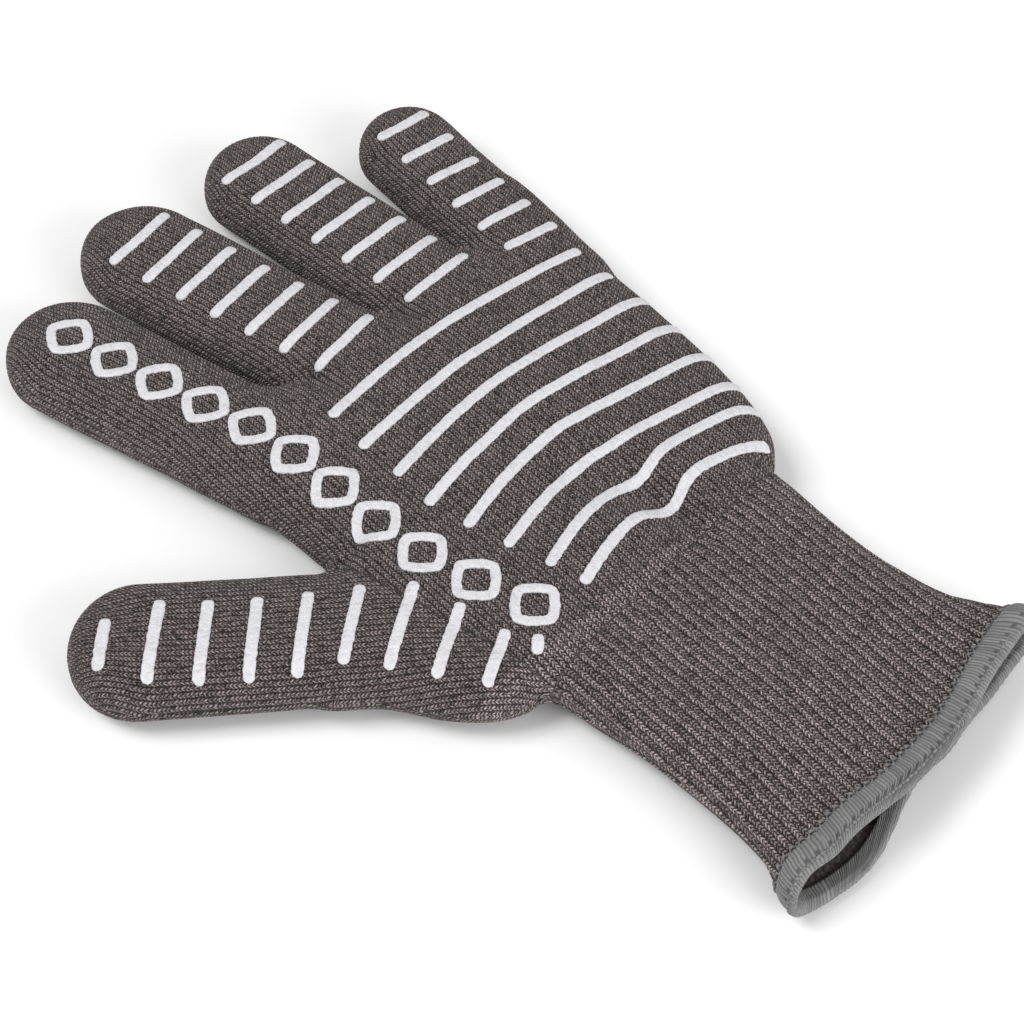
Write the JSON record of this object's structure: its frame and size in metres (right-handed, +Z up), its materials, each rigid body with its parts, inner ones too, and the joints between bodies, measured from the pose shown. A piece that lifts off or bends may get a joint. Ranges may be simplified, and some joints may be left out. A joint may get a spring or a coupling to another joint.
{
  "type": "heat resistant glove",
  "caption": "Seamless knitted heat resistant grilling glove with lined fingers and thumb, silicone grip stripes and diamonds on the palm side, ribbed cuff and overlocked rim.",
  "frame": {"origin": "on the rest surface, under the middle of the glove's bounding box", "axes": "+Y from the cuff to the fingertips, +Z up out of the printed palm side, +X towards the little finger"},
  "size_m": [0.222, 0.3146, 0.0248],
  "materials": {
    "aramid_knit": "plain knit, dark grey brown melange",
    "aramid_rib": "rib knit, dark grey brown melange",
    "cotton_knit": "plain knit, dark",
    "binding_thread": "close overlock thread, grey",
    "silicone_print": "matt white silicone"
  },
  "bodies": {
    "hand": {"hand_shell": "aramid_knit", "hand_liner": "cotton_knit", "thumb_stripes_root": "silicone_print", "index_marks_palm": "silicone_print", "palm_stripe_1": "silicone_print", "palm_stripe_2": "silicone_print", "palm_stripe_3": "silicone_print", "palm_stripe_4": "silicone_print", "palm_stripe_5": "silicone_print", "palm_stripe_6": "silicone_print", "palm_stripe_7": "silicone_print", "palm_stripe_8": "silicone_print", "middle_stripe_1": "silicone_print", "middle_stripe_2": "silicone_print", "ring_stripe_1": "silicone_print", "ring_stripe_2": "silicone_print", "little_stripe_1": "silicone_print", "little_stripe_2": "silicone_print"},
    "cuff": {"cuff_shell": "aramid_rib", "cuff_liner": "cotton_knit", "cuff_binding": "binding_thread"},
    "thumb_base": {"thumb_base_shell": "aramid_knit", "thumb_base_liner": "cotton_knit", "thumb_stripes_base": "silicone_print"},
    "thumb_tip": {"thumb_tip_shell": "aramid_knit", "thumb_tip_liner": "cotton_knit", "thumb_stripes_tip": "silicone_print"},
    "index_base": {"index_base_shell": "aramid_knit", "index_base_liner": "cotton_knit", "index_marks_base": "silicone_print"},
    "index_tip": {"index_tip_shell": "aramid_knit", "index_tip_liner": "cotton_knit", "index_marks_tip": "silicone_print"},
    "middle_base": {"middle_base_shell": "aramid_knit", "middle_base_liner": "cotton_knit", "middle_stripe_3": "silicone_print", "middle_stripe_4": "silicone_print", "middle_stripe_5": "silicone_print"},
    "middle_tip": {"middle_tip_shell": "aramid_knit", "middle_tip_liner": "cotton_knit", "middle_stripe_6": "silicone_print", "middle_stripe_7": "silicone_print"},
    "ring_base": {"ring_base_shell": "aramid_knit", "ring_base_liner": "cotton_knit", "ring_stripe_3": "silicone_print", "ring_stripe_4": "silicone_print", "ring_stripe_5": "silicone_print"},
    "ring_tip": {"ring_tip_shell": "aramid_knit", "ring_tip_liner": "cotton_knit", "ring_stripe_6": "silicone_print", "ring_stripe_7": "silicone_print"},
    "little_base": {"little_base_shell": "aramid_knit", "little_base_liner": "cotton_knit", "little_stripe_3": "silicone_print", "little_stripe_4": "silicone_print"},
    "little_tip": {"little_tip_shell": "aramid_knit", "little_tip_liner": "cotton_knit", "little_stripe_5": "silicone_print", "little_stripe_6": "silicone_print"}
  },
  "joints": [
    {"name": "thumb_knuckle", "type": "hinge", "parent": "hand", "child": "thumb_base", "pos_m": [-0.0622, -0.0041, 0.014], "axis": [0.617, 0.7869, 0], "range_deg": [0, 60]},
    {"name": "thumb_middle_flex", "type": "hinge", "parent": "thumb_base", "child": "thumb_tip", "pos_m": [-0.08313, 0.01231, 0.014], "axis": [0.617, 0.7869, 0], "range_deg": [0, 70]},
    {"name": "index_knuckle", "type": "hinge", "parent": "hand", "child": "index_base", "pos_m": [-0.0295, 0.079, 0.014], "axis": [0.9703, 0.2419, 0], "range_deg": [0, 60]},
    {"name": "index_middle_flex", "type": "hinge", "parent": "index_base", "child": "index_tip", "pos_m": [-0.03773, 0.11199, 0.014], "axis": [0.9703, 0.2419, 0], "range_deg": [0, 70]},
    {"name": "middle_knuckle", "type": "hinge", "parent": "hand", "child": "middle_base", "pos_m": [0.0142, 0.0815, 0.014], "axis": [0.9781, 0.2079, 0], "range_deg": [0, 60]},
    {"name": "middle_middle_flex", "type": "hinge", "parent": "middle_base", "child": "middle_tip", "pos_m": [0.0059, 0.12053, 0.014], "axis": [0.9781, 0.2079, 0], "range_deg": [0, 70]},
    {"name": "ring_knuckle", "type": "hinge", "parent": "hand", "child": "ring_base", "pos_m": [0.055, 0.0839, 0.014], "axis": [0.9962, 0.0872, 0], "range_deg": [0, 60]},
    {"name": "ring_middle_flex", "type": "hinge", "parent": "ring_base", "child": "ring_tip", "pos_m": [0.05152, 0.12365, 0.014], "axis": [0.9962, 0.0872, 0], "range_deg": [0, 70]},
    {"name": "little_knuckle", "type": "hinge", "parent": "hand", "child": "little_base", "pos_m": [0.0916, 0.0775, 0.014], "axis": [0.9962, -0.0872, 0], "range_deg": [0, 60]},
    {"name": "little_middle_flex", "type": "hinge", "parent": "little_base", "child": "little_tip", "pos_m": [0.09392, 0.104, 0.014], "axis": [0.9962, -0.0872, 0], "range_deg": [0, 70]},
    {"name": "wrist_flex", "type": "hinge", "parent": "hand", "child": "cuff", "pos_m": [0.03, -0.075, 0.0154], "axis": [-1, 0, 0], "range_deg": [0, 35]}
  ]
}
